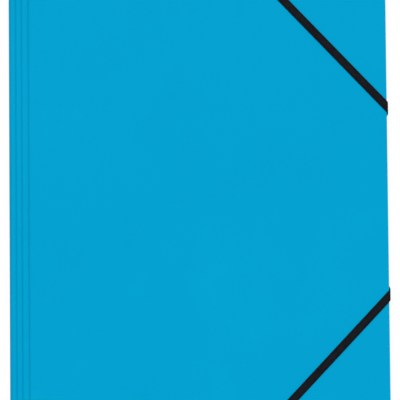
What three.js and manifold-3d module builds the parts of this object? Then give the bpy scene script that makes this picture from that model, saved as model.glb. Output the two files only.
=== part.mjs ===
// Elastic folder for A4 papers, lying flat and closed: one sheet of pressed card, scored and folded into
// a back cover with three inner flaps and a front cover, held shut by a flat elastic across each free corner.
// Millimetres, +Z up. The spine fold is at -X, the fore edge at +X and the top edge at +Y. The origin is on
// the surface that the folder lies on, under the middle of its bounding box.
import * as THREE from "three";
import { mergeVertices } from "three/addons/utils/BufferGeometryUtils.js";
import Module from "manifold-3d";

const wasm = await Module();
wasm.setup();

// Covers
const coverWidth = 240;
const coverHeight = 320;
const cardThickness = 0.6;
const coverCornerRadius = 6;
const coverOverhang = 2;

// Score lines beside the spine fold, pressed into the outside of the card and standing up as a bead inside
const firstScore = 4.6;
const secondScore = 8.3;
const thirdScore = 12.6;
const scoreWidth = 2;
const scoreDepth = 0.3;

// Inner flaps, folded in from the back cover's three free edges
const endFlapDepth = 95;
const sideFlapDepth = 110;
const flapTaperDegrees = 8;
const flapCornerRadius = 14;
const flapCornerInset = 8;
const flapSpineInset = 3;
const flapRoot = 4;
const reliefWidth = 1.2;

// Flat elastics, each across one free corner
const elasticWidth = 5;
const elasticThickness = 0.7;
const elasticEdgeRadius = 0.3;
const elasticAlongEnd = 95;
const elasticAlongSide = 100;
const elasticBendRadius = 0.5;
const elasticTuck = 2.6;

// Holes in the back cover, and the metal barbs that keep the elastics' ends in them
const holeFromEdge = 10;
const holeClearance = 0.7;
const barbOverhang = 2.8;
const barbHeight = 1.2;
const barbWall = 0.35;
const barbEdgeRadius = 0.3;

// Air left between pieces that touch on the real folder
const touchGap = 0.3;

// Facets, and the spare card that an outline cuts away
const foldFacets = 12;
const scoreFacets = 6;
const cornerFacets = 8;
const bendFacets = 5;
const edgeFacets = 3;
const holeFacets = 28;
const trim = 1;

// Heights: the elastics' back runs lie on the ground, and the card's layers are stacked above them
const halfCard = cardThickness / 2;
const backHeight = elasticThickness + touchGap + halfCard;
const barbBase = backHeight + halfCard + touchGap;
const layerStep = cardThickness + scoreDepth + touchGap;
const endFlapHeight = barbBase + barbHeight + touchGap + scoreDepth + halfCard;
const sideFlapHeight = endFlapHeight + layerStep;
const frontHeight = sideFlapHeight + layerStep;

// Places across the folder. The front cover overhangs the back cover and the flaps' folds at its free edges.
const edgeX = coverWidth / 2;
const edgeY = coverHeight / 2;
const backEdgeX = edgeX - coverOverhang;
const backEdgeY = edgeY - coverOverhang;

const cardMaterial = new THREE.MeshStandardMaterial({ color: 0x00a1d0, roughness: 0.75, metalness: 0 });
const elasticMaterial = new THREE.MeshStandardMaterial({ color: 0x1c1e21, roughness: 0.85, metalness: 0 });
const barbMaterial = new THREE.MeshStandardMaterial({ color: 0xc9c6bf, roughness: 0.35, metalness: 1 });

const RIGHT = new THREE.Vector3(1, 0, 0);
const TOP = new THREE.Vector3(0, 1, 0);
const BOTTOM = new THREE.Vector3(0, -1, 0);
const UP = new THREE.Vector3(0, 0, 1);

// A closed outline from its corners, each [x, y, radius], listed counterclockwise
function roundedShape(corners, facets = cornerFacets) {
  const places = corners.map(([x, y]) => new THREE.Vector2(x, y));
  const points = corners.flatMap(([x, y, radius], i) => {
    if (!radius) return places[i];
    const before = places.at(i - 1).clone().sub(places[i]).normalize();
    const after = places[(i + 1) % places.length].clone().sub(places[i]).normalize();
    const centre = before.clone().add(after).setLength(radius / Math.sin(before.angleTo(after) / 2)).add(places[i]);
    const start = Math.atan2(before.x, -before.y);
    const end = Math.atan2(-after.x, after.y);
    return new THREE.EllipseCurve(centre.x, centre.y, radius, radius, start, end).getPoints(facets);
  });
  return new THREE.Shape(points);
}

// The cross-section of a bent strip of card. Its centreline is walked from `start` with the card's outside on
// the right, along straight runs and round folds that turn left. `scores` are distances along it, and each
// one presses the card in to the left.
function cardSection(start, heading, runs, scores) {
  const legs = [];
  const stations = [0];
  const at = new THREE.Vector2(...start);
  let angle = heading;
  let walked = 0;
  for (const { length, radius } of runs) {
    legs.push({ from: walked, to: walked + length, at: at.clone(), angle, radius });
    const facets = radius ? foldFacets : 1;
    for (let i = 1; i <= facets; i++) stations.push(walked + (length * i) / facets);
    at.copy(placeOn(legs.at(-1), walked + length).point);
    angle += radius ? length / radius : 0;
    walked += length;
  }
  for (const score of scores) {
    for (let i = 0; i <= scoreFacets; i++) stations.push(score + (i / scoreFacets - 0.5) * scoreWidth);
  }
  stations.sort((a, b) => a - b);

  const outside = [];
  const inside = [];
  let last = -1;
  for (const station of stations) {
    if (station < 0 || station > walked || station - last < halfCard / 10) continue;
    last = station;
    const { point, direction } = placeOn(legs.find(({ to }) => station <= to), station);
    const right = new THREE.Vector2(Math.sin(direction), -Math.cos(direction));
    const dip = Math.max(0, ...scores.map((score) => scoreDip(station - score)));
    outside.push(point.clone().addScaledVector(right, halfCard - dip));
    inside.push(point.clone().addScaledVector(right, -halfCard - dip));
  }
  return new THREE.Shape([...outside, ...inside.reverse()]);
}

// The point and direction at a distance along one leg of a section's centreline
function placeOn({ from, at, angle, radius }, distance) {
  const along = distance - from;
  if (!radius) {
    return { point: new THREE.Vector2(Math.cos(angle), Math.sin(angle)).multiplyScalar(along).add(at), direction: angle };
  }
  const direction = angle + along / radius;
  const point = new THREE.Vector2(Math.sin(direction) - Math.sin(angle), Math.cos(angle) - Math.cos(direction));
  return { point: point.multiplyScalar(radius).add(at), direction };
}

// How far a score presses the card in, at a distance from the score's middle
function scoreDip(offset) {
  return Math.abs(offset) < scoreWidth / 2 ? scoreDepth * Math.cos((Math.PI * offset) / scoreWidth) ** 2 : 0;
}

// A section drawn in the plane of `outward` and up, extruded to both sides of that plane
function extrudeSection(section, width, outward) {
  const side = new THREE.Vector3().crossVectors(outward, UP);
  return new THREE.ExtrudeGeometry(section, { depth: width, bevelEnabled: false })
    .translate(0, 0, -width / 2)
    .applyMatrix4(new THREE.Matrix4().makeBasis(outward, UP, side));
}

// An outline drawn in plan, with its first axis along `outward`, extruded from the ground past the folder's top
function extrudePlan(outline, outward = RIGHT) {
  const options = { depth: frontHeight + backHeight, bevelEnabled: false, curveSegments: holeFacets };
  const side = new THREE.Vector3().crossVectors(UP, outward);
  return new THREE.ExtrudeGeometry(outline, options).applyMatrix4(new THREE.Matrix4().makeBasis(outward, side, UP));
}

// A closed geometry as a solid for joins and cuts, and the solid's geometry back again
function solid(geometry) {
  const bare = new THREE.BufferGeometry().setAttribute("position", geometry.getAttribute("position"));
  const merged = mergeVertices(bare);
  const mesh = new wasm.Mesh({
    numProp: 3,
    vertProperties: merged.getAttribute("position").array,
    triVerts: new Uint32Array(merged.index.array),
  });
  return new wasm.Manifold(mesh);
}

function geometryOf(manifold) {
  const { vertProperties, triVerts } = manifold.getMesh();
  return new THREE.BufferGeometry()
    .setAttribute("position", new THREE.BufferAttribute(vertProperties, 3))
    .setIndex(new THREE.BufferAttribute(triVerts, 1));
}

// The spine fold is split at mid-height between the covers. Each cover ends in its half of the fold.
const spineScores = [firstScore, secondScore, thirdScore];
const spineRadius = (frontHeight - backHeight - touchGap) / 2;
const halfFold = { length: (Math.PI / 2) * spineRadius, radius: spineRadius };
const foldReach = halfCard + spineRadius;
const coverRun = { length: coverWidth - foldReach + trim };

// A cover's section cut to its outline
function cutCover(section, outline) {
  const strip = extrudeSection(section, coverHeight + 2 * trim, RIGHT);
  return solid(strip).intersect(solid(extrudePlan(outline)));
}

// The front cover runs from the fore edge, across the spine scores and down the upper half of the spine fold
function frontCover() {
  const scores = spineScores.map((distance) => trim + coverWidth - distance);
  const outline = roundedShape([
    [-edgeX - trim, -edgeY, 0],
    [edgeX, -edgeY, coverCornerRadius],
    [edgeX, edgeY, coverCornerRadius],
    [-edgeX - trim, edgeY, 0],
  ]);
  const section = cardSection([edgeX + trim, frontHeight], Math.PI, [coverRun, halfFold], scores);
  return geometryOf(cutCover(section, outline));
}

// One inner flap. From a root inside the back cover its strip turns up and over at `edge` in a half-round fold,
// and lies back across the cover at `height`. `from` and `to` are the fold's ends, measured to the left of
// someone who looks along `outward`. The relief is the slit that frees the fold from the cover's corners.
function flap(outward, edge, height, depth, from, to) {
  const radius = (height - backHeight) / 2;
  const foldStart = edge - halfCard - radius;
  const root = { length: flapRoot };
  const fold = { length: Math.PI * radius, radius };
  const panel = { length: depth - halfCard - radius + trim };
  const scores = spineScores.map((distance) => root.length + fold.length + 2 * distance - halfCard - radius);
  const section = cardSection([foldStart - root.length, backHeight], 0, [root, fold, panel], scores);
  const narrowing = depth * Math.tan(THREE.MathUtils.degToRad(flapTaperDegrees));
  const outline = roundedShape([
    [edge + trim, from, 0],
    [edge + trim, to, 0],
    [edge, to, 0],
    [edge - depth, to - narrowing, flapCornerRadius],
    [edge - depth, from + narrowing, flapCornerRadius],
    [edge, from, 0],
  ]);
  const slit = roundedShape([
    [foldStart, from - reliefWidth, 0],
    [edge + trim, from - reliefWidth, 0],
    [edge + trim, to + reliefWidth, 0],
    [foldStart, to + reliefWidth, 0],
  ]);
  const side = new THREE.Vector3().crossVectors(UP, outward);
  const strip = extrudeSection(section, to - from + 2 * trim, outward);
  strip.translate(...side.multiplyScalar((from + to) / 2).toArray());
  return {
    body: solid(strip).intersect(solid(extrudePlan(outline, outward))),
    relief: solid(extrudePlan(slit, outward)),
  };
}

// An elastic passes round an edge of the folder at a slant. It bends over the front cover and again under the
// back cover, and moves along the edge as it goes round.
const bendRadius = elasticBendRadius + elasticThickness / 2;
const quarterBend = (Math.PI / 2) * bendRadius;
const upperBend = frontHeight + halfCard + touchGap - elasticBendRadius;
const lowerBend = elasticThickness + elasticBendRadius;

// Between the two bends it leans in under the front cover, and it clears that cover's lower corner
const lean = Math.atan2(elasticTuck, upperBend - lowerBend);
const upperArc = bendRadius * (Math.PI / 2 + lean);
const sideRun = Math.hypot(elasticTuck, upperBend - lowerBend);
const lowerArc = bendRadius * (Math.PI / 2 - lean);
const wrapLength = upperArc + sideRun + lowerArc;
const cornerDrop = upperBend - frontHeight + halfCard;
const bendInset = (elasticBendRadius - touchGap - cornerDrop * Math.sin(lean)) / Math.cos(lean);
const holePast = wrapLength - bendInset - elasticTuck + coverOverhang + holeFromEdge;

// The elastic's two halves, from the middle of its front run: one goes round the top edge, one round the fore
// edge. `crossing` and `passing` are how far each goes square to its edge and along it, for its length.
const frontRun = Math.hypot(elasticAlongEnd, elasticAlongSide);
const endHalf = { sign: -1, crossing: elasticAlongSide / frontRun, passing: elasticAlongEnd / frontRun };
const sideHalf = { sign: 1, crossing: elasticAlongEnd / frontRun, passing: elasticAlongSide / frontRun };

// The two holes at the top fore-edge corner, near the top edge and near the fore edge
const holeRadius = elasticWidth / 2 + holeClearance;
const holeTravel = ({ crossing, passing }) => ((holePast - bendInset) * passing) / crossing;
const holes = {
  edge: [edgeX - elasticAlongEnd - holeTravel(endHalf), backEdgeY - holeFromEdge],
  fore_edge: [backEdgeX - holeFromEdge, edgeY - elasticAlongSide - holeTravel(sideHalf)],
};

// The back cover with the lower half of the spine fold, its three flaps and the four punched holes. Beside the
// spine it is as high as the front cover.
function backCover() {
  const scores = spineScores.map((distance) => halfFold.length + distance - foldReach);
  const start = [-edgeX + halfCard, backHeight + spineRadius];
  const spineEnd = -edgeX + thirdScore + flapSpineInset;
  const stepX = spineEnd - reliefWidth;
  const outline = roundedShape([
    [-edgeX - trim, -edgeY, 0],
    [stepX, -edgeY, 0],
    [stepX, -backEdgeY, 0],
    [backEdgeX, -backEdgeY, coverCornerRadius],
    [backEdgeX, backEdgeY, coverCornerRadius],
    [stepX, backEdgeY, 0],
    [stepX, edgeY, 0],
    [-edgeX - trim, edgeY, 0],
  ]);
  let cover = cutCover(cardSection(start, -Math.PI / 2, [halfFold, coverRun], scores), outline);
  const foreEnd = backEdgeX - flapCornerInset;
  const cornerEnd = backEdgeY - flapCornerInset;
  const flaps = [
    flap(TOP, backEdgeY, endFlapHeight, endFlapDepth, -foreEnd, -spineEnd),
    flap(BOTTOM, backEdgeY, endFlapHeight, endFlapDepth, spineEnd, foreEnd),
    flap(RIGHT, backEdgeX, sideFlapHeight, sideFlapDepth, -cornerEnd, cornerEnd),
  ];
  for (const { relief } of flaps) cover = cover.subtract(relief);
  for (const [x, y] of Object.values(holes)) {
    for (const side of [1, -1]) {
      const circle = new THREE.Shape().absarc(x, side * y, holeRadius, 0, 2 * Math.PI, false);
      cover = cover.subtract(solid(extrudePlan(circle)));
    }
  }
  for (const { body } of flaps) cover = cover.add(body);
  return geometryOf(cover);
}

// A place on the elastic laid flat, bent round the edge at `edge`: `across` runs square to that edge and
// `normal` is measured outwards from the middle of the elastic's thickness
function wrapEdge(across, normal, edge) {
  const start = edge - bendInset;
  const past = Math.max(across - start, 0);
  const radius = bendRadius + normal;
  const bent = Math.min(past, upperArc) + THREE.MathUtils.clamp(past - upperArc - sideRun, 0, lowerArc);
  const angle = bent / bendRadius;
  const down = THREE.MathUtils.clamp(past - upperArc, 0, sideRun);
  const under = Math.max(past - wrapLength, 0);
  return [
    Math.min(across, start) + radius * Math.sin(angle) - down * Math.sin(lean) - under,
    upperBend + radius * Math.cos(angle) - down * Math.cos(lean),
  ];
}

// The stations along half of the elastic, from the middle of its front run to its tip. Where it bends round its
// edge its sections lie parallel to that edge. Then it turns up into its hole.
function elasticStations({ sign, crossing, passing }) {
  const reachOf = (past) => frontRun / 2 + (past - bendInset) / crossing;
  const turnStart = reachOf(holePast) - bendRadius;
  const tipHeight = barbBase + barbHeight - barbWall - touchGap;
  const stations = [];
  const add = (reach, skew) => stations.push({ sign, reach, skew, turnStart });
  add(0, 0);
  for (const [from, arc] of [[0, upperArc], [upperArc + sideRun, lowerArc]]) {
    for (let i = 0; i <= bendFacets; i++) add(reachOf(from + (arc * i) / bendFacets), passing / crossing);
  }
  for (let i = 0; i <= bendFacets; i++) add(turnStart + (quarterBend * i) / bendFacets, 0);
  add(turnStart + quarterBend + tipHeight - lowerBend, 0);
  return stations;
}

// The elastic at the top fore-edge corner. It is straight with the folder's faces laid flat, so it is extruded
// straight, its ends are turned up into the holes, and each half is bent round its edge.
function elasticGeometry() {
  const stations = [...elasticStations(endHalf).reverse(), ...elasticStations(sideHalf).slice(1)];
  const corners = [[-1, -1], [1, -1], [1, 1], [-1, 1]].map(([x, y]) => {
    return [(x * elasticWidth) / 2, (y * elasticThickness) / 2, elasticEdgeRadius];
  });
  const steps = stations.length - 1;
  const section = roundedShape(corners, edgeFacets);
  const geometry = new THREE.ExtrudeGeometry(section, { depth: steps, steps, bevelEnabled: false });
  const position = geometry.getAttribute("position");
  for (let i = 0; i < position.count; i++) {
    const across = position.getX(i);
    const station = stations[Math.round(position.getZ(i))];
    let reach = station.reach - station.skew * across;
    let normal = position.getY(i);
    const turned = reach - station.turnStart;
    if (turned > quarterBend) {
      reach = station.turnStart + bendRadius + normal;
      normal = quarterBend - bendRadius - turned;
    } else if (turned > 0) {
      const radius = bendRadius + normal;
      const angle = turned / bendRadius;
      reach = station.turnStart + radius * Math.sin(angle);
      normal = radius * Math.cos(angle) - bendRadius;
    }
    const travelled = station.sign * reach;
    const x = edgeX - elasticAlongEnd / 2 + across * endHalf.crossing + travelled * sideHalf.crossing;
    const y = edgeY - elasticAlongSide / 2 + across * sideHalf.crossing - travelled * endHalf.crossing;
    if (station.sign > 0) {
      const [wrapped, height] = wrapEdge(x, normal, edgeX);
      position.setXYZ(i, wrapped, y, height);
    } else {
      const [wrapped, height] = wrapEdge(y, normal, edgeY);
      position.setXYZ(i, x, wrapped, height);
    }
  }
  return geometry;
}

// A barb is a strip of metal folded into a channel over the end of the elastic and crimped
function barbGeometry() {
  const channel = elasticThickness / 2 + touchGap;
  const outer = channel + barbWall;
  const section = roundedShape([
    [channel, 0, 0],
    [outer, 0, 0],
    [outer, barbHeight, barbEdgeRadius],
    [-outer, barbHeight, barbEdgeRadius],
    [-outer, 0, 0],
    [-channel, 0, 0],
    [-channel, barbHeight - barbWall, 0],
    [channel, barbHeight - barbWall, 0],
  ]);
  return extrudeSection(section, 2 * (holeRadius + barbOverhang), RIGHT);
}

const folder = new THREE.Group();
folder.position.x = (bendInset - elasticBendRadius - elasticThickness) / 2;

function addPiece(name, geometry, material) {
  const mesh = new THREE.Mesh(geometry, material);
  mesh.name = name;
  folder.add(mesh);
  return mesh;
}

addPiece("back_cover", backCover(), cardMaterial);
addPiece("front_cover", frontCover(), cardMaterial);

for (const [end, side] of [["top", 1], ["bottom", -1]]) {
  addPiece(`${end}_elastic`, elasticGeometry(), elasticMaterial).scale.y = side;
  for (const [place, [x, y]] of Object.entries(holes)) {
    const barb = addPiece(`${end}_${place}_barb`, barbGeometry(), barbMaterial);
    barb.position.set(x, side * y, barbBase);
    barb.rotation.z = side * Math.atan2(elasticAlongSide, elasticAlongEnd);
  }
}

export default folder;
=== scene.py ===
import math

import bmesh
import bpy
import numpy as np
from mathutils import Matrix, Vector


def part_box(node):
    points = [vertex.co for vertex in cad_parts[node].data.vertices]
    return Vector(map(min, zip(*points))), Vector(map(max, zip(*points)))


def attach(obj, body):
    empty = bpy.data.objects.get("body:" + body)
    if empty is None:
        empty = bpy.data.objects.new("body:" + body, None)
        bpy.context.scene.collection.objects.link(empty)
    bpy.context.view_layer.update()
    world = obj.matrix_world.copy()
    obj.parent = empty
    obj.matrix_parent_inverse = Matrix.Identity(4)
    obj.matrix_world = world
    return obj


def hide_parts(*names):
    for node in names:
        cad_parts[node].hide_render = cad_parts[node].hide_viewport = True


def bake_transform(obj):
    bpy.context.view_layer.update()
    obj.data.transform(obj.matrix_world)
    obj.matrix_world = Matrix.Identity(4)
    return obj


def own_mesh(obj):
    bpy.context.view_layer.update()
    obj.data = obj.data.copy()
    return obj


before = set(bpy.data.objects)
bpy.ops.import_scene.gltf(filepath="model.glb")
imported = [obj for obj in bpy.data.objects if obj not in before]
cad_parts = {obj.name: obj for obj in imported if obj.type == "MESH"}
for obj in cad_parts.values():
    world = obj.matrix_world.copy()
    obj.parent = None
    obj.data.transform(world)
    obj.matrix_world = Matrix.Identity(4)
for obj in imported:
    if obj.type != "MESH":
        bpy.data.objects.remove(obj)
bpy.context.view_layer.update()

# Picture
# The folder is photographed from almost straight above, 2 degrees off towards its lower edge and turned by
# half a degree, on plain white. The picture crops its top and bottom.
COVER_LOW, COVER_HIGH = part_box("front_cover")
COVER_MIDDLE = (COVER_LOW + COVER_HIGH) / 2
PICTURE_WIDTH = 0.2533
AIM_RIGHT = 0.00097
AIM_UP = 0.0017
CAMERA_DISTANCE = 1.0
CAMERA_TILT = math.radians(2.22)
CAMERA_ROLL = math.radians(-0.5)
CAMERA_NEAR = 0.01
SENSOR_WIDTH_MM = 36


def add_object(name, data):
    added = bpy.data.objects.new(name, data)
    bpy.context.scene.collection.objects.link(added)
    return added


camera_data = bpy.data.cameras.new("camera")
camera_data.sensor_width = SENSOR_WIDTH_MM
camera_data.lens = SENSOR_WIDTH_MM * CAMERA_DISTANCE / PICTURE_WIDTH
camera_data.clip_start = CAMERA_NEAR
camera = add_object("camera", camera_data)
aim = Vector((COVER_MIDDLE.x + AIM_RIGHT, COVER_MIDDLE.y + AIM_UP, COVER_HIGH.z))
stand = Vector((0, -math.sin(CAMERA_TILT), math.cos(CAMERA_TILT))) * CAMERA_DISTANCE
turn = (-stand).to_track_quat("-Z", "Y").to_matrix().to_4x4() @ Matrix.Rotation(CAMERA_ROLL, 4, "Z")
camera.matrix_world = Matrix.Translation(aim + stand) @ turn
bpy.context.scene.camera = camera
bpy.context.scene.view_settings.view_transform = "Standard"


# Light and floor
# Soft white light: a wide lamp from above the picture's top edge, one overhead and more from all round,
# together at the level where a colour renders as written. The floor and the world are plain white to the
# camera, with the folder's faint shadow. The lit floor is a touch over white, so that noise never greys it.
LIGHT_LEVEL = 1.0
WORLD_SHARE = 0.4
LAMPS = {
    "key": {"share": 0.44, "direction": Vector((-0.05, 0.6, 1.0)), "spread": math.radians(45)},
    "top": {"share": 0.16, "direction": Vector((0.0, 0.0, 1.0)), "spread": math.radians(110)},
}
WHITE = (1, 1, 1, 1)
FLOOR_SIZE = 8.0
FLOOR_GREY = 0.3
FLOOR_LEVEL = 1.01
SHADOW_SHARE = 0.15


def add_node(tree, kind, inputs=None, **settings):
    """The outputs of a new node. Each of its inputs is given a plain value or another node's output."""
    node = tree.nodes.new(kind)
    for name, value in settings.items():
        setattr(node, name, value)
    for key, value in (inputs or {}).items():
        if isinstance(value, bpy.types.NodeSocket):
            tree.links.new(value, node.inputs[key])
        else:
            node.inputs[key].default_value = value
    return node.outputs


def new_material(name):
    """A material and its node tree, which is still empty."""
    material = bpy.data.materials.new(name)
    material.use_nodes = True
    material.node_tree.nodes.clear()
    return material, material.node_tree


def grey(level):
    return level, level, level, 1


def seen_directly(tree):
    """1 for a ray from the camera, or one that a shiny or clear surface passes on."""
    path = add_node(tree, "ShaderNodeLightPath")
    total = path["Is Camera Ray"]
    for kind in ("Is Glossy Ray", "Is Transmission Ray"):
        total = add_node(tree, "ShaderNodeMath", {0: total, 1: path[kind]}, operation="MAXIMUM")[0]
    return total


world = bpy.data.worlds.new("world")
world.use_nodes = True
bpy.context.scene.world = world
sky = world.node_tree
sky.nodes.clear()
lighting = add_node(sky, "ShaderNodeBackground", {"Color": WHITE, "Strength": LIGHT_LEVEL * WORLD_SHARE})
backdrop = add_node(sky, "ShaderNodeBackground", {"Color": WHITE, "Strength": 1.0})
direct = seen_directly(sky)
chosen = add_node(sky, "ShaderNodeMixShader", {"Fac": direct, 1: lighting[0], 2: backdrop[0]})
add_node(sky, "ShaderNodeOutputWorld", {"Surface": chosen[0]})

for name, lamp in LAMPS.items():
    lamp_data = bpy.data.lights.new(name, "SUN")
    lamp_data.energy = LIGHT_LEVEL * lamp["share"] * math.pi / lamp["direction"].normalized().z
    lamp_data.angle = lamp["spread"]
    lamp_object = add_object(name, lamp_data)
    lamp_object.rotation_euler = lamp["direction"].to_track_quat("Z", "Y").to_euler()

floor_material, tree = new_material("white_floor")
matte = add_node(tree, "ShaderNodeBsdfDiffuse", {"Color": grey(FLOOR_GREY)})
shaded = add_node(tree, "ShaderNodeBsdfDiffuse", {"Color": grey(SHADOW_SHARE)})
glow = add_node(tree, "ShaderNodeEmission", {"Strength": FLOOR_LEVEL - SHADOW_SHARE})
shown = add_node(tree, "ShaderNodeAddShader", {0: shaded[0], 1: glow[0]})
direct = seen_directly(tree)
above = add_node(tree, "ShaderNodeMixShader", {"Fac": direct, 1: matte[0], 2: shown[0]})
below = add_node(tree, "ShaderNodeBsdfTransparent")
from_below = add_node(tree, "ShaderNodeNewGeometry")["Backfacing"]
one_sided = add_node(tree, "ShaderNodeMixShader", {"Fac": from_below, 1: above[0], 2: below[0]})
add_node(tree, "ShaderNodeOutputMaterial", {"Surface": one_sided[0]})

floor_mesh = bpy.data.meshes.new("floor")
reach = FLOOR_SIZE / 2
floor_corners = [(-reach, -reach, 0), (reach, -reach, 0), (reach, reach, 0), (-reach, reach, 0)]
floor_mesh.from_pydata(floor_corners, [], [(0, 1, 2, 3)])
floor_mesh.materials.append(floor_material)
floor = add_object("floor", floor_mesh)


# Front cover
# Through-dyed pressed card, die-cut with rounded free corners and scored three times beside the spine fold.
# The scores are pressed in from outside. The panel ends in the first of them, where the spine fold begins.
CARD_THICKNESS = 0.0006
SCORES = (0.0046, 0.0083, 0.0126)
SCORE_WIDTH = 0.002
SCORE_DEPTH = 0.0003
SCORE_STEPS = 10
COVER_CORNER = 0.006
CORNER_STEPS = 10
PANEL_STEP = 0.01
CUT_TOLERANCE = 1e-6
EDGE_SOFTNESS = 0.00007
SOFTENED_FROM = math.radians(60)
CREASED_FROM = math.radians(40)
CARD_BLUE = (0.0, 0.374, 0.656, 1)
CARD_DEEP_BLUE = (0.0, 0.343, 0.613, 1)
CARD_ROUGHNESS = 0.62
CARD_SHINE = 0.02
# Painted shade in the score hollows: the share of the card's colour left at the deepest point of a score.
SCORE_SHADE_TONE = 0.81
FIBRES = {"Scale": 1400, "Detail": 3, "Roughness": 0.6}
CLOUDS = {"Scale": 8, "Detail": 4, "Roughness": 0.7}
CLOUD_SHARE = 0.7
MOTTLING_LOW = 0.3
MOTTLING_HIGH = 0.7
GRAIN = {"Scale": 2600, "Detail": 4, "Roughness": 0.7}
GRAIN_STRENGTH = 0.25
GRAIN_HEIGHT = 0.00004

spine_x = COVER_LOW.x
fore_x = COVER_HIGH.x
end_y = COVER_HIGH.y
seam_x = spine_x + SCORES[0]
front_z = COVER_HIGH.z - CARD_THICKNESS / 2
score_places = [spine_x + place for place in SCORES]


def noise(tree, sizes):
    """A noise all through a piece, fixed to the piece's own coordinates."""
    place = add_node(tree, "ShaderNodeTexCoord")["Object"]
    return add_node(tree, "ShaderNodeTexNoise", {"Vector": place, **sizes})["Fac"]


def bump(tree, height, strength, distance):
    inputs = {"Height": height, "Strength": strength, "Distance": distance}
    return add_node(tree, "ShaderNodeBump", inputs)["Normal"]


def card_material():
    material, tree = new_material("pressed_card")
    mottling = {"Factor": CLOUD_SHARE, "A": noise(tree, FIBRES), "B": noise(tree, CLOUDS)}
    spread = {
        "Value": add_node(tree, "ShaderNodeMix", mottling)["Result"],
        "From Min": MOTTLING_LOW,
        "From Max": MOTTLING_HIGH,
    }
    blues = {
        "Factor": add_node(tree, "ShaderNodeMapRange", spread)["Result"],
        "A": CARD_DEEP_BLUE,
        "B": CARD_BLUE,
    }
    tint = add_node(tree, "ShaderNodeMix", blues, data_type="RGBA")["Result"]
    # Painted shade darkens the card in the score hollows, most where they are deepest.
    pressed = add_node(tree, "ShaderNodeAttribute", attribute_name="pressed")["Fac"]
    tones = {"Value": pressed, "To Min": 1.0, "To Max": SCORE_SHADE_TONE}
    tone = add_node(tree, "ShaderNodeMapRange", tones)["Result"]
    score_shaded = add_node(tree, "ShaderNodeVectorMath", {0: tint, "Scale": tone}, operation="SCALE")
    surface = add_node(tree, "ShaderNodeBsdfPrincipled", {
        "Base Color": score_shaded[0],
        "Roughness": CARD_ROUGHNESS,
        "Specular IOR Level": CARD_SHINE,
        "Normal": bump(tree, noise(tree, GRAIN), GRAIN_STRENGTH, GRAIN_HEIGHT),
    })
    add_node(tree, "ShaderNodeOutputMaterial", {"Surface": surface["BSDF"]})
    return material


CARD = card_material()


def round_corner(corner, before, after, radius):
    """The points of a rounded corner of an outline, from the side of `before` to the side of `after`."""
    corner, before, after = Vector(corner), Vector(before), Vector(after)
    to_before, to_after = (before - corner).normalized(), (after - corner).normalized()
    half = to_before.angle(to_after) / 2
    centre = corner + (to_before + to_after).normalized() * radius / math.sin(half)
    start = corner + to_before * radius / math.tan(half) - centre
    turn = math.pi - 2 * half
    cross = to_before.x * to_after.y - to_before.y * to_after.x
    angles = (turn * i / CORNER_STEPS * (-1 if cross > 0 else 1) for i in range(CORNER_STEPS + 1))
    return [centre + Matrix.Rotation(angle, 2) @ start for angle in angles]


def outline_points(corners):
    """A closed outline from corners of (x, y, radius)."""
    points = []
    for i, (x, y, radius) in enumerate(corners):
        if radius:
            before, after = corners[i - 1], corners[(i + 1) % len(corners)]
            points += round_corner((x, y), before[:2], after[:2], radius)
        else:
            points.append(Vector((x, y)))
    return points


def score_dip(offset):
    """How far a score presses the card in, at a distance from its middle."""
    inside = np.abs(offset) < SCORE_WIDTH / 2
    return np.where(inside, SCORE_DEPTH * np.cos(np.pi * offset / SCORE_WIDTH) ** 2, 0.0)


def score_lines(places):
    """Where the card is cut across to follow each score's hollow."""
    steps = np.linspace(-SCORE_WIDTH / 2, SCORE_WIDTH / 2, SCORE_STEPS + 1)
    return [place + step for place in places for step in steps]


def even_lines(low, high):
    """Evenly spaced cuts between two edges, which keep the strips of a panel short."""
    return list(np.linspace(low, high, max(2, round((high - low) / PANEL_STEP) + 1)))[1:-1]


def flat_card(loops, across, along):
    """A blank inside the first loop and outside the others, cut at each x in across and each y in along."""
    blank = bmesh.new()
    edges = []
    for loop in loops:
        corners = [blank.verts.new((x, y, 0)) for x, y in loop]
        edges += [blank.edges.new((a, b)) for a, b in zip(corners, corners[1:] + corners[:1])]
    bmesh.ops.triangle_fill(blank, use_beauty=True, use_dissolve=False, edges=edges)
    bmesh.ops.recalc_face_normals(blank, faces=blank.faces)
    for lines, square in ((across, Vector((1, 0, 0))), (along, Vector((0, 1, 0)))):
        for line in lines:
            whole = blank.verts[:] + blank.edges[:] + blank.faces[:]
            place = square * line
            bmesh.ops.bisect_plane(blank, geom=whole, dist=CUT_TOLERANCE, plane_co=place, plane_no=square)
    return blank


def plain_mesh(draft):
    """The mesh that a draft's modifiers make of it. The draft is deleted."""
    mesh = bpy.data.meshes.new_from_object(draft.evaluated_get(bpy.context.evaluated_depsgraph_get()))
    bpy.data.objects.remove(draft)
    return mesh


def make_card(name, blank, bend):
    """The blank bent by `bend`, given the card's thickness and softened edges, as a finished piece."""
    mesh = bpy.data.meshes.new(name + "_draft")
    blank.to_mesh(mesh)
    blank.free()
    flat = np.empty(len(mesh.vertices) * 3)
    mesh.vertices.foreach_get("co", flat)
    places, dip = bend(*flat.reshape(-1, 3)[:, :2].T)
    mesh.vertices.foreach_set("co", places.ravel())
    # The score depth, which the card's colour uses for painted shade in the hollows.
    mesh.attributes.new("pressed", "FLOAT", "POINT").data.foreach_set("value", dip / SCORE_DEPTH)
    draft = add_object(name + "_draft", mesh)
    wall = draft.modifiers.new("thickness", "SOLIDIFY")
    wall.thickness = CARD_THICKNESS
    wall.offset = 0
    wall.use_even_offset = True
    soft = draft.modifiers.new("edges", "BEVEL")
    soft.width = EDGE_SOFTNESS
    soft.segments = 1
    soft.angle_limit = SOFTENED_FROM
    card = plain_mesh(draft)
    card.name = name
    card.materials.clear()
    card.materials.append(CARD)
    card.shade_smooth()
    card.set_sharp_from_angle(angle=CREASED_FROM)
    return add_object(name, card)


def bend_front(x, y):
    dip = sum(score_dip(x - place) for place in score_places)
    return np.stack([x, y, front_z - dip], axis=1), dip


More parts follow.
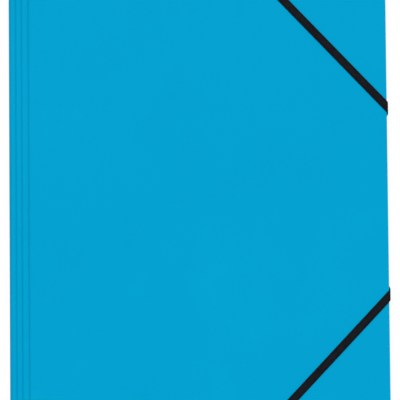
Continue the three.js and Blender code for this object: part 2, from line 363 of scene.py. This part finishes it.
front_outline = outline_points([
    (seam_x, -end_y, 0),
    (fore_x, -end_y, COVER_CORNER),
    (fore_x, end_y, COVER_CORNER),
    (seam_x, end_y, 0),
])
front_cuts = score_lines(score_places) + even_lines(score_places[-1] + SCORE_WIDTH / 2, fore_x)
front_blank = flat_card([front_outline], front_cuts, even_lines(-end_y, end_y))
front_card = make_card("front_card", front_blank, bend_front)
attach(front_card, "front")
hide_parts("front_cover")


# Spine fold
# The same sheet between the first scores of the two covers, turned over in a round fold.
BACK_LOW, BACK_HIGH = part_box("back_cover")
FOLD_STEPS = 28

back_z = BACK_LOW.z + CARD_THICKNESS / 2
spine_radius = (front_z - back_z) / 2
spine_turn_x = spine_x + CARD_THICKNESS / 2 + spine_radius
spine_flat = seam_x - spine_turn_x
spine_arc = math.pi * spine_radius
spine_length = 2 * spine_flat + spine_arc


def bend_spine(s, y):
    """s runs from the front cover's first score round the fold to the back cover's."""
    angle = np.clip((s - spine_flat) / spine_radius, 0, math.pi)
    on_front = np.minimum(s, spine_flat)
    on_back = np.maximum(s - spine_flat - spine_arc, 0)
    front_dip = score_dip(s)
    back_dip = score_dip(s - spine_length)
    x = seam_x - on_front - spine_radius * np.sin(angle) + on_back
    z = front_z - spine_radius * (1 - np.cos(angle)) - front_dip + back_dip
    return np.stack([x, y, z], axis=1), front_dip + back_dip


spine_outline = outline_points([
    (0, -end_y, 0),
    (spine_length, -end_y, 0),
    (spine_length, end_y, 0),
    (0, end_y, 0),
])
half_score = list(np.linspace(0, SCORE_WIDTH / 2, SCORE_STEPS // 2 + 1))[1:]
spine_cuts = half_score + [spine_length - cut for cut in half_score]
spine_cuts += list(np.linspace(spine_flat, spine_flat + spine_arc, FOLD_STEPS + 1))
spine_blank = flat_card([spine_outline], spine_cuts, even_lines(-end_y, end_y))
spine_fold = make_card("spine_fold", spine_blank, bend_spine)
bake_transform(spine_fold)


# Back cover and inner flaps
# The rest of the sheet, cut flat with its three flaps and four punched holes, then folded. Slits free each
# flap from the corners. The end flaps fold in first and the fore-edge flap over them.
END_FLAP_DEPTH = 0.095
SIDE_FLAP_DEPTH = 0.110
FLAP_TAPER = math.tan(math.radians(8))
FLAP_CORNER = 0.014
FLAP_FOLD_STEPS = 16
FLAP_SCORE_SPACING = 2
CORNER_INSET = 0.008
SPINE_INSET = 0.003
SLIT = 0.0012
LAYER_STEP = 0.0012
COVER_OVERHANG = 0.002
HOLE_RADIUS = 0.0032
HOLE_FROM_EDGE = 0.01
HOLE_STEPS = 32
FOLD_TOLERANCE = 1e-7

side_flap_z = BACK_HIGH.z - CARD_THICKNESS / 2
end_flap_z = side_flap_z - LAYER_STEP


class Flap:
    """One flap's fold: where it starts on the flat sheet, how round it is and how far the sheet goes on."""

    def __init__(self, edge, height, depth):
        self.radius = (height - back_z) / 2
        self.start = edge - CARD_THICKNESS / 2 - self.radius
        self.arc = math.pi * self.radius
        self.brow = self.start + self.arc / 2
        self.end = self.start + self.arc + depth - CARD_THICKNESS / 2 - self.radius
        self.narrowing = depth * FLAP_TAPER
        after_fold = self.start + self.arc - CARD_THICKNESS / 2 - self.radius
        self.scores = [after_fold + FLAP_SCORE_SPACING * place for place in SCORES]
        self.cuts = list(np.linspace(self.start, self.start + self.arc, FLAP_FOLD_STEPS + 1))
        self.cuts += score_lines(self.scores)

    def bend(self, out):
        """Where a place this far out on the flat sheet comes to lie, how high, and how deep it is scored."""
        angle = np.clip((out - self.start) / self.radius, 0, math.pi)
        back = np.maximum(out - self.start - self.arc, 0)
        dip = sum(score_dip(out - score) for score in self.scores)
        place = np.minimum(out, self.start) + self.radius * np.sin(angle) - back
        return place, self.radius * (1 - np.cos(angle)) - dip, dip


back_x = fore_x - COVER_OVERHANG
back_y = end_y - COVER_OVERHANG
end_flap = Flap(back_y, end_flap_z, END_FLAP_DEPTH)
side_flap = Flap(back_x, side_flap_z, SIDE_FLAP_DEPTH)
flap_low_x = score_places[-1] + SPINE_INSET
flap_high_x = back_x - CORNER_INSET
flap_high_y = back_y - CORNER_INSET

upper_half = [
    (side_flap.end, flap_high_y - side_flap.narrowing, FLAP_CORNER),
    (side_flap.brow, flap_high_y, 0),
    (side_flap.start, flap_high_y, 0),
    (side_flap.start, flap_high_y + SLIT, 0),
    (back_x, flap_high_y + SLIT, 0),
    (back_x, back_y, COVER_CORNER),
    (flap_high_x + SLIT, back_y, 0),
    (flap_high_x + SLIT, end_flap.start, 0),
    (flap_high_x, end_flap.start, 0),
    (flap_high_x, end_flap.brow, 0),
    (flap_high_x - end_flap.narrowing, end_flap.end, FLAP_CORNER),
    (flap_low_x + end_flap.narrowing, end_flap.end, FLAP_CORNER),
    (flap_low_x, end_flap.brow, 0),
    (flap_low_x, end_flap.start, 0),
    (flap_low_x - SLIT, end_flap.start, 0),
    (flap_low_x - SLIT, end_y, 0),
    (seam_x, end_y, 0),
]
lower_half = [(x, -y, radius) for x, y, radius in reversed(upper_half)]


def bend_back(x, y):
    on_side = x > side_flap.start + FOLD_TOLERANCE
    on_side &= np.abs(y) < flap_high_y + SLIT / 2
    on_end = np.abs(y) > end_flap.start + FOLD_TOLERANCE
    on_end &= (x < flap_high_x + SLIT / 2) & (x > flap_low_x - SLIT / 2) & ~on_side
    side_x, side_rise, side_dip = side_flap.bend(x)
    end_reach, end_rise, end_dip = end_flap.bend(np.abs(y))
    cover_dip = sum(score_dip(x - place) for place in score_places)
    dip = np.where(on_side, side_dip, np.where(on_end, end_dip, cover_dip))
    return np.stack([
        np.where(on_side, side_x, x),
        np.where(on_end, np.sign(y) * end_reach, y),
        back_z + np.where(on_side, side_rise, np.where(on_end, end_rise, cover_dip)),
    ], axis=1), dip


# The elastics' own sizes and run, which place the holes.
ELASTIC_THICKNESS = 0.0007
ELASTIC_WIDTH = 0.005
ELASTIC_ALONG_END = 0.095
ELASTIC_ALONG_SIDE = 0.1
ELASTIC_TUCK = 0.0026
BEND_INSIDE = 0.0005
TOUCH_GAP = 0.0003

bend_radius = BEND_INSIDE + ELASTIC_THICKNESS / 2
quarter_bend = math.pi / 2 * bend_radius
upper_bend = COVER_HIGH.z + TOUCH_GAP - BEND_INSIDE
lower_bend = ELASTIC_THICKNESS + BEND_INSIDE
lean = math.atan2(ELASTIC_TUCK, upper_bend - lower_bend)
wrap_length = math.pi * bend_radius + math.hypot(ELASTIC_TUCK, upper_bend - lower_bend)
corner_drop = upper_bend - COVER_HIGH.z + CARD_THICKNESS
bend_inset = (BEND_INSIDE - TOUCH_GAP - corner_drop * math.sin(lean)) / math.cos(lean)
hole_run = wrap_length - 2 * bend_inset - ELASTIC_TUCK + COVER_OVERHANG + HOLE_FROM_EDGE
slope = ELASTIC_ALONG_SIDE / ELASTIC_ALONG_END

hole_places = [
    (fore_x - ELASTIC_ALONG_END - hole_run / slope, back_y - HOLE_FROM_EDGE),
    (back_x - HOLE_FROM_EDGE, end_y - ELASTIC_ALONG_SIDE - hole_run * slope),
]
around = [2 * math.pi * i / HOLE_STEPS for i in range(HOLE_STEPS)]
hole_loops = [
    [Vector((x + HOLE_RADIUS * math.cos(a), side * y + HOLE_RADIUS * math.sin(a))) for a in around]
    for x, y in hole_places
    for side in (1, -1)
]
back_across = score_lines(score_places) + side_flap.cuts
back_along = end_flap.cuts + [-cut for cut in end_flap.cuts]
back_blank = flat_card([outline_points(lower_half + upper_half), *hole_loops], back_across, back_along)
back_card = make_card("back_card", back_blank, bend_back)
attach(back_card, "back")
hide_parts("back_cover")


# Elastics
# Flat braided elastic, black, stretched slantwise across each free corner. It bends over the covers' edges
# and runs on underneath, and each end turns up through a hole in the back cover into a barb.
BRAID_COLUMNS = 8
BRAID_PITCH = 0.00092
STRAND_LENGTH = 0.0015
STRAND_SLANT = math.radians(32)
STRAND_OVERLAP = 1.15
STRAND_SIDES = 8
STRAND_RINGS = 5
CORE_WIDTH_SHARE = 0.94
CORE_THICKNESS_SHARE = 0.6
CORE_STEP = 0.0005
CORE_COLUMNS = 10
ELASTIC_BLACK = (0.0015, 0.0015, 0.003, 1)
ELASTIC_GREY = (0.0185, 0.019, 0.023, 1)
ELASTIC_ROUGHNESS = 0.7
ELASTIC_SHINE = 0.04
EDGE_SHADE_POWER = 4
FUZZ = {"Scale": 450, "Detail": 5, "Roughness": 0.7}
FUZZ_STRENGTH = 0.4
FUZZ_HEIGHT = 0.00005
WORN_PATCHES = {"Scale": 60}
WORN_DARK = 0.6
WORN_PALE = 1.4
SNUG_INSIDE = 0.00025

# The part's elastics stand a little off the card. The real ones lie on it, so the bends here are tighter and
# the side run between them is longer.
snug_radius = SNUG_INSIDE + ELASTIC_THICKNESS / 2
snug_drop = upper_bend - ELASTIC_THICKNESS - SNUG_INSIDE
snug_lean = math.atan2(ELASTIC_TUCK, snug_drop)
snug_run = math.hypot(ELASTIC_TUCK, snug_drop)
snug_arc = snug_radius * (math.pi / 2 + snug_lean)
snug_length = math.pi * snug_radius + snug_run


def elastic_material():
    material, tree = new_material("braided_elastic")
    fuzz = noise(tree, FUZZ)
    fades = {"Value": noise(tree, WORN_PATCHES), "To Min": WORN_DARK, "To Max": WORN_PALE}
    fade = add_node(tree, "ShaderNodeMapRange", fades)["Result"]
    # Painted shade towards both edges of the braid, through the middle attribute. The fuzz and worn patches
    # are the braid's own tone.
    middle = add_node(tree, "ShaderNodeAttribute", attribute_name="middle")["Fac"]
    shade = fuzz
    for share in (fade, middle):
        shade = add_node(tree, "ShaderNodeMath", {0: shade, 1: share}, operation="MULTIPLY")[0]
    tints = {"Factor": shade, "A": ELASTIC_BLACK, "B": ELASTIC_GREY}
    surface = add_node(tree, "ShaderNodeBsdfPrincipled", {
        "Base Color": add_node(tree, "ShaderNodeMix", tints, data_type="RGBA")["Result"],
        "Roughness": ELASTIC_ROUGHNESS,
        "Specular IOR Level": ELASTIC_SHINE,
        "Normal": bump(tree, fuzz, FUZZ_STRENGTH, FUZZ_HEIGHT),
    })
    add_node(tree, "ShaderNodeOutputMaterial", {"Surface": surface["BSDF"]})
    return material


ELASTIC = elastic_material()


def braid_tree():
    """Flat braid along X: columns of strands, slanted one way and the other in turn, over a plain core."""
    tree = bpy.data.node_groups.new("flat_braid", "GeometryNodeTree")
    for name in ("Length", "Width", "Thickness", "Pitch", "Strand", "Slant"):
        tree.interface.new_socket(name, in_out="INPUT", socket_type="NodeSocketFloat")
    tree.interface.new_socket("Columns", in_out="INPUT", socket_type="NodeSocketInt")
    tree.interface.new_socket("Material", in_out="INPUT", socket_type="NodeSocketMaterial")
    tree.interface.new_socket("Geometry", in_out="OUTPUT", socket_type="NodeSocketGeometry")
    given = add_node(tree, "NodeGroupInput")

    def result(operation, *values):
        return add_node(tree, "ShaderNodeMath", dict(enumerate(values)), operation=operation)[0]

    def vector(*values):
        return add_node(tree, "ShaderNodeCombineXYZ", dict(enumerate(values)))[0]

    column_width = result("DIVIDE", given["Width"], given["Columns"])
    grid = add_node(tree, "GeometryNodeMeshGrid", {
        "Size X": result("SUBTRACT", given["Length"], given["Pitch"]),
        "Size Y": result("SUBTRACT", given["Width"], column_width),
        "Vertices X": result("FLOOR", result("DIVIDE", given["Length"], given["Pitch"])),
        "Vertices Y": given["Columns"],
    })
    index = add_node(tree, "GeometryNodeInputIndex")[0]
    odd = result("MODULO", result("MODULO", index, given["Columns"]), 2)
    slant = result("MULTIPLY", result("SUBTRACT", result("MULTIPLY", odd, 2), 1), given["Slant"])

    unit_ball = {"Segments": STRAND_SIDES, "Rings": STRAND_RINGS, "Radius": 0.5}
    ball = add_node(tree, "GeometryNodeMeshUVSphere", unit_ball)
    fat = result("MULTIPLY", column_width, STRAND_OVERLAP)
    strand = add_node(tree, "GeometryNodeTransform", {
        "Geometry": ball["Mesh"],
        "Scale": vector(given["Strand"], fat, given["Thickness"]),
    })
    strands = add_node(tree, "GeometryNodeInstanceOnPoints", {
        "Points": grid["Mesh"],
        "Instance": strand["Geometry"],
        "Rotation": vector(0, 0, slant),
    })

    core_width = result("MULTIPLY", given["Width"], CORE_WIDTH_SHARE)
    core_thickness = result("MULTIPLY", given["Thickness"], CORE_THICKNESS_SHARE)
    core = add_node(tree, "GeometryNodeMeshCube", {
        "Size": vector(given["Length"], core_width, core_thickness),
        "Vertices X": result("DIVIDE", given["Length"], CORE_STEP),
        "Vertices Y": CORE_COLUMNS,
    })
    join = tree.nodes.new("GeometryNodeJoinGeometry")
    tree.links.new(core["Mesh"], join.inputs[0])
    tree.links.new(strands["Instances"], join.inputs[0])
    realized = add_node(tree, "GeometryNodeRealizeInstances", {0: join.outputs[0]})
    finish = {"Geometry": realized[0], "Material": given["Material"]}
    add_node(tree, "NodeGroupOutput", {0: add_node(tree, "GeometryNodeSetMaterial", finish)[0]})
    return tree


BRAID = braid_tree()


def flat_braid(length):
    """The braid lying flat, as a mesh with its strands realized."""
    draft = add_object("braid_draft", bpy.data.meshes.new("braid_draft"))
    braid = draft.modifiers.new("braid", "NODES")
    braid.node_group = BRAID
    values = {
        "Length": length,
        "Width": ELASTIC_WIDTH,
        "Thickness": ELASTIC_THICKNESS,
        "Pitch": BRAID_PITCH,
        "Strand": STRAND_LENGTH,
        "Slant": STRAND_SLANT,
        "Columns": BRAID_COLUMNS,
        "Material": ELASTIC,
    }
    for item in BRAID.interface.items_tree:
        if item.in_out == "INPUT":
            braid[item.identifier] = values[item.name]
    return plain_mesh(draft)


def wrap_edge(across, normal, edge):
    """A place on the elastic laid flat, bent over the edge, leaning in down its side and back underneath."""
    start = edge - bend_inset
    past = np.maximum(across - start, 0)
    bent = np.minimum(past, wrap_length) * snug_length / wrap_length
    down = np.clip(bent - snug_arc, 0, snug_run)
    under = np.maximum(past - wrap_length, 0)
    angle = (bent - down) / snug_radius
    radius = snug_radius + normal
    place = np.minimum(across, start) + radius * np.sin(angle) - down * math.sin(snug_lean) - under
    return place, upper_bend + radius * np.cos(angle) - down * math.cos(snug_lean)


def reach_of_turn(crossing):
    """How far from the middle an elastic's end starts to turn up into its hole."""
    return front_run / 2 + hole_run / crossing - bend_radius


def bend_elastic(flat, side):
    """The flat braid bent up at its ends, laid across the corner and wrapped round both edges."""
    station, across, normal = flat.T
    over_fore_edge = station > 0
    turn_start = np.where(over_fore_edge, reach_of_turn(along_x), reach_of_turn(along_y))
    turned = np.clip((np.abs(station) - turn_start) / bend_radius, 0, math.pi / 2)
    rise = np.maximum(np.abs(station) - turn_start - quarter_bend, 0)
    radius = bend_radius + normal
    reach = np.minimum(np.abs(station), turn_start) + radius * np.sin(turned)
    normal = np.where(turned > 0, radius * np.cos(turned) - bend_radius - rise, normal)
    travelled = np.sign(station) * reach
    x = fore_x - ELASTIC_ALONG_END / 2 + across * along_y + travelled * along_x
    y = end_y - ELASTIC_ALONG_SIDE / 2 + across * along_x - travelled * along_y
    wrapped_x, height_x = wrap_edge(x, normal, fore_x)
    wrapped_y, height_y = wrap_edge(y, normal, end_y)
    return np.stack([
        np.where(over_fore_edge, wrapped_x, x),
        side * np.where(over_fore_edge, y, wrapped_y),
        np.where(over_fore_edge, height_x, height_y),
    ], axis=1)


BARB_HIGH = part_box("top_edge_barb")[1]
BARB_WALL = 0.00035
tip_rise = BARB_HIGH.z - BARB_WALL - TOUCH_GAP - lower_bend
front_run = math.hypot(ELASTIC_ALONG_END, ELASTIC_ALONG_SIDE)
along_x = ELASTIC_ALONG_END / front_run
along_y = ELASTIC_ALONG_SIDE / front_run
end_tip = reach_of_turn(along_y) + quarter_bend + tip_rise
fore_tip = reach_of_turn(along_x) + quarter_bend + tip_rise

for name, side in (("top_elastic", 1), ("bottom_elastic", -1)):
    mesh = flat_braid(end_tip + fore_tip)
    mesh.name = name + "_braid"
    places = np.empty(len(mesh.vertices) * 3)
    mesh.vertices.foreach_get("co", places)
    places = places.reshape(-1, 3) + ((fore_tip - end_tip) / 2, 0, 0)
    # Painted shade: the braid's colour darkens towards both edges, as if they turned away from the light.
    unshaded_middle = 1 - (2 * places[:, 1] / ELASTIC_WIDTH) ** EDGE_SHADE_POWER
    mesh.attributes.new("middle", "FLOAT", "POINT").data.foreach_set("value", np.clip(unshaded_middle, 0, 1))
    mesh.vertices.foreach_set("co", bend_elastic(places, side).ravel())
    if side < 0:
        mesh.flip_normals()
    mesh.shade_smooth()
    elastic = add_object(name + "_braid", mesh)
    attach(elastic, "back")
    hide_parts(name)
    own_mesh(elastic)


# Barbs
# Strips of plated steel folded over the elastics' ends and crimped. They lie across the holes inside the
# back cover, under the flaps.
BARB_STEEL = (0.62, 0.6, 0.56, 1)
WEAR = {"Scale": 900, "Detail": 4}
BARB_SMOOTH = 0.25
BARB_ROUGH = 0.45


def barb_material():
    material, tree = new_material("plated_steel")
    wear = {"Value": noise(tree, WEAR), "To Min": BARB_SMOOTH, "To Max": BARB_ROUGH}
    surface = add_node(tree, "ShaderNodeBsdfPrincipled", {
        "Base Color": BARB_STEEL,
        "Metallic": 1.0,
        "Roughness": add_node(tree, "ShaderNodeMapRange", wear)["Result"],
    })
    add_node(tree, "ShaderNodeOutputMaterial", {"Surface": surface["BSDF"]})
    return material


BARB_METAL = barb_material()
for name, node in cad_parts.items():
    if name.endswith("_barb"):
        node.data.materials.clear()
        node.data.materials.append(BARB_METAL)
